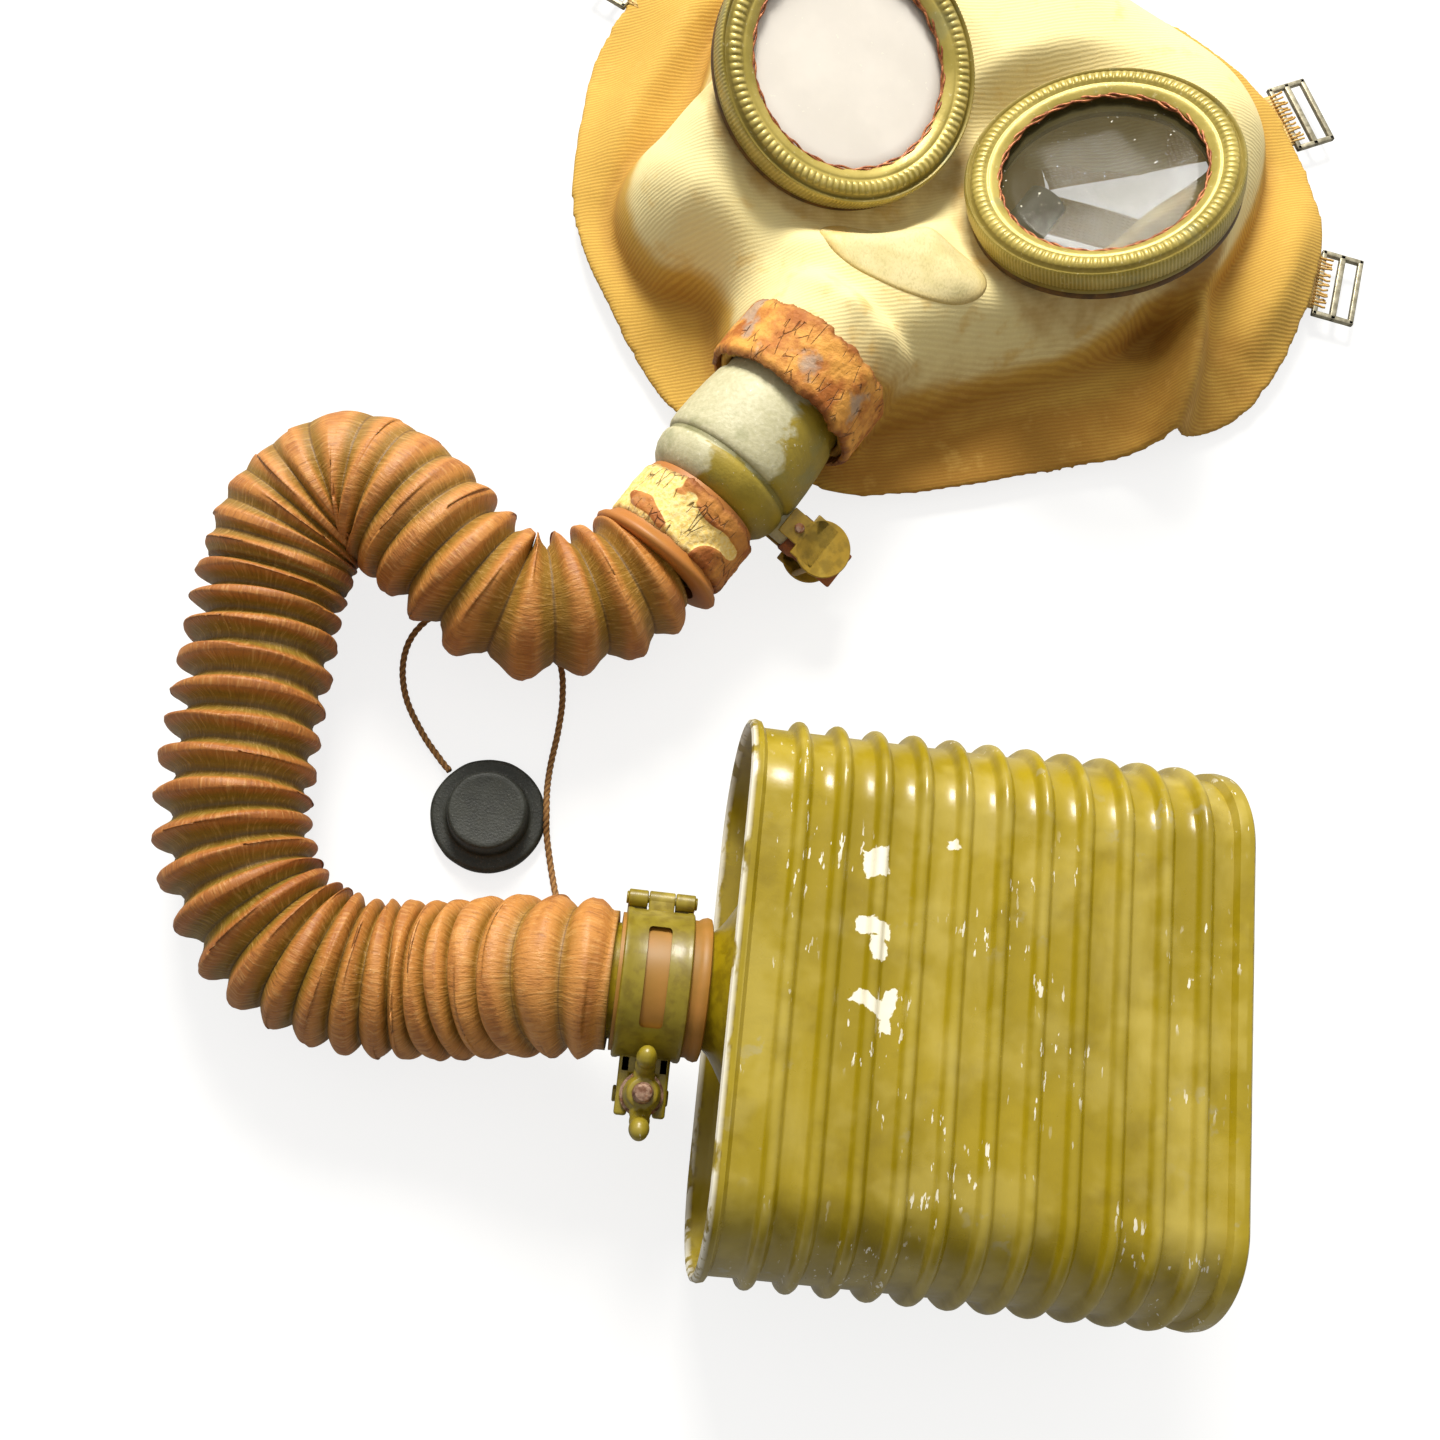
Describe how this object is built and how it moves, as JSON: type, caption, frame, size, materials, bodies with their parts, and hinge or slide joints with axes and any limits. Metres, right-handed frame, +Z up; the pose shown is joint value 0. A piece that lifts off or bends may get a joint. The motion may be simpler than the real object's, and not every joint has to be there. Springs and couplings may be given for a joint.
{
  "type": "hose-type smoke mask",
  "caption": "Smoke mask laid flat: cloth-covered rubber facepiece with round screw-ring eyepieces, angle tube, corrugated hose and oval ribbed canister on a wing-nut clamp.",
  "frame": {"origin": "middle of the base of the mask and canister as they lie on the table, without the hose, string and stopper", "axes": "+Z up from the table, +X along the canister from its neck to its air inlet, +Y from the canister towards the facepiece"},
  "size_m": [0.3982, 0.5299, 0.092],
  "materials": {
    "canister_paint": "glossy olive-yellow paint, worn white on the ribs",
    "clamp_paint": "satin olive paint, worn at the edges",
    "tube_paint": "grey-green and mustard paint, chalky and worn",
    "ring_paint": "satin olive-brass paint, polished on the flutes",
    "bare_steel": "dull bare steel",
    "bolt_steel": "browned steel",
    "copper_wire": "tarnished copper-brown wire",
    "charcoal": "granular black carbon",
    "soda_lime": "granular off-white",
    "felt": "soft filter felt",
    "hose_knit": "brown knit-covered rubber, reddish on the ridges",
    "face_knit": "tan to cream stockinette bonded to rubber",
    "patch_cloth": "grey-cream cloth patch",
    "webbing": "tan cotton webbing",
    "string_fibre": "twisted brown string",
    "tape_rubber": "cracked orange-brown rubber tape",
    "flutter_rubber": "perished brown rubber",
    "valve_rubber": "dark moulded rubber",
    "stopper_rubber": "green-black moulded rubber",
    "eye_glass": "dusty clear glass"
  },
  "bodies": {
    "root": {"canister_body": "canister_paint", "neck_cap": "canister_paint", "bottom_cap": "canister_paint", "inlet_valve_guide": "bare_steel", "inlet_screen": "bare_steel", "charcoal_bed": "charcoal", "filter_pad": "felt", "soda_lime_bed": "soda_lime", "outlet_screen": "bare_steel", "pressure_spring": "bare_steel", "hose_cuff": "hose_knit", "clamp_lower": "clamp_paint", "clamp_hinge_pin": "bare_steel", "swing_bolt": "bolt_steel", "swing_bolt_pin": "bare_steel", "breathing_hose": "hose_knit", "stopper_string": "string_fibre", "stopper": "stopper_rubber", "angle_tube": "tube_paint", "hose_end_cuff": "hose_knit", "hose_tape_band": "tape_rubber", "chin_tape_band": "tape_rubber", "exhale_valve_stub": "tube_paint", "flutter_valve": "flutter_rubber", "valve_guard": "clamp_paint", "valve_guard_screws": "bolt_steel", "facepiece": "face_knit", "nose_patch": "patch_cloth", "air_deflector": "valve_rubber", "eye_seat_left": "valve_rubber", "eye_seat_right": "valve_rubber", "eye_frame_left": "ring_paint", "eye_frame_right": "ring_paint", "lens_left": "eye_glass", "lens_right": "eye_glass", "harness_tabs": "webbing", "harness_buckles": "bare_steel", "head_straps": "webbing", "head_pad": "webbing"},
    "inlet_valve": {"inlet_valve_disc": "valve_rubber"},
    "clamp_top": {"clamp_upper": "clamp_paint"},
    "washer": {"clamp_washer": "bolt_steel"},
    "nut": {"wing_nut": "clamp_paint"},
    "flutter": {"flutter_lip": "flutter_rubber"},
    "ring_left": {"lens_ring_left": "copper_wire"},
    "bezel_left": {"bezel_left": "ring_paint"},
    "ring_right": {"lens_ring_right": "copper_wire"},
    "bezel_right": {"bezel_right": "ring_paint"}
  },
  "joints": [
    {"name": "inlet_valve_lift", "type": "slide", "parent": "root", "child": "inlet_valve", "axis": [-1, 0, 0], "range_m": [0, 0.002], "stiffness_N_per_m": 5},
    {"name": "clamp_open", "type": "hinge", "parent": "root", "child": "clamp_top", "pos_m": [-0.0864, -0.1574, 0.046], "axis": [-1, 0, 0], "range_deg": [0, 3.75]},
    {"name": "washer_lift", "type": "slide", "parent": "root", "child": "washer", "axis": [0, 0, 1], "range_m": [0, 0.004]},
    {"name": "wing_nut_turn", "type": "hinge", "parent": "washer", "child": "nut", "pos_m": [-0.0864, -0.2144, 0.04], "axis": [0, 0, 1], "range_deg": [0, 1440]},
    {"name": "flutter_open", "type": "hinge", "parent": "root", "child": "flutter", "pos_m": [-0.05031, -0.02861, 0.02038], "axis": [0.5227, 0.8463, 0.1028], "range_deg": [0, 10], "stiffness_Nm_per_rad": 0.02},
    {"name": "lens_ring_lift_left", "type": "slide", "parent": "root", "child": "ring_left", "axis": [0.2666, -0.2598, 0.9281], "range_m": [0, 0.003]},
    {"name": "bezel_turn_left", "type": "hinge", "parent": "ring_left", "child": "bezel_left", "pos_m": [-0.05724, 0.1297, 0.0558], "axis": [0.2666, -0.2598, 0.9281], "range_deg": [0, 1080]},
    {"name": "lens_ring_lift_right", "type": "slide", "parent": "root", "child": "ring_right", "axis": [-0.3171, 0.174, 0.9323], "range_m": [0, 0.003]},
    {"name": "bezel_turn_right", "type": "hinge", "parent": "ring_right", "child": "bezel_right", "pos_m": [0.03597, 0.10046, 0.054], "axis": [-0.3171, 0.174, 0.9323], "range_deg": [0, 1080]}
  ],
  "couplings": [
    {"joint": "washer_lift", "follows": "wing_nut_turn", "m_per_rad": 0.00015915},
    {"joint": "clamp_open", "follows": "wing_nut_turn", "ratio": 0.002586},
    {"joint": "lens_ring_lift_left", "follows": "bezel_turn_left", "m_per_rad": 0.00015915},
    {"joint": "lens_ring_lift_right", "follows": "bezel_turn_right", "m_per_rad": 0.00015915}
  ]
}
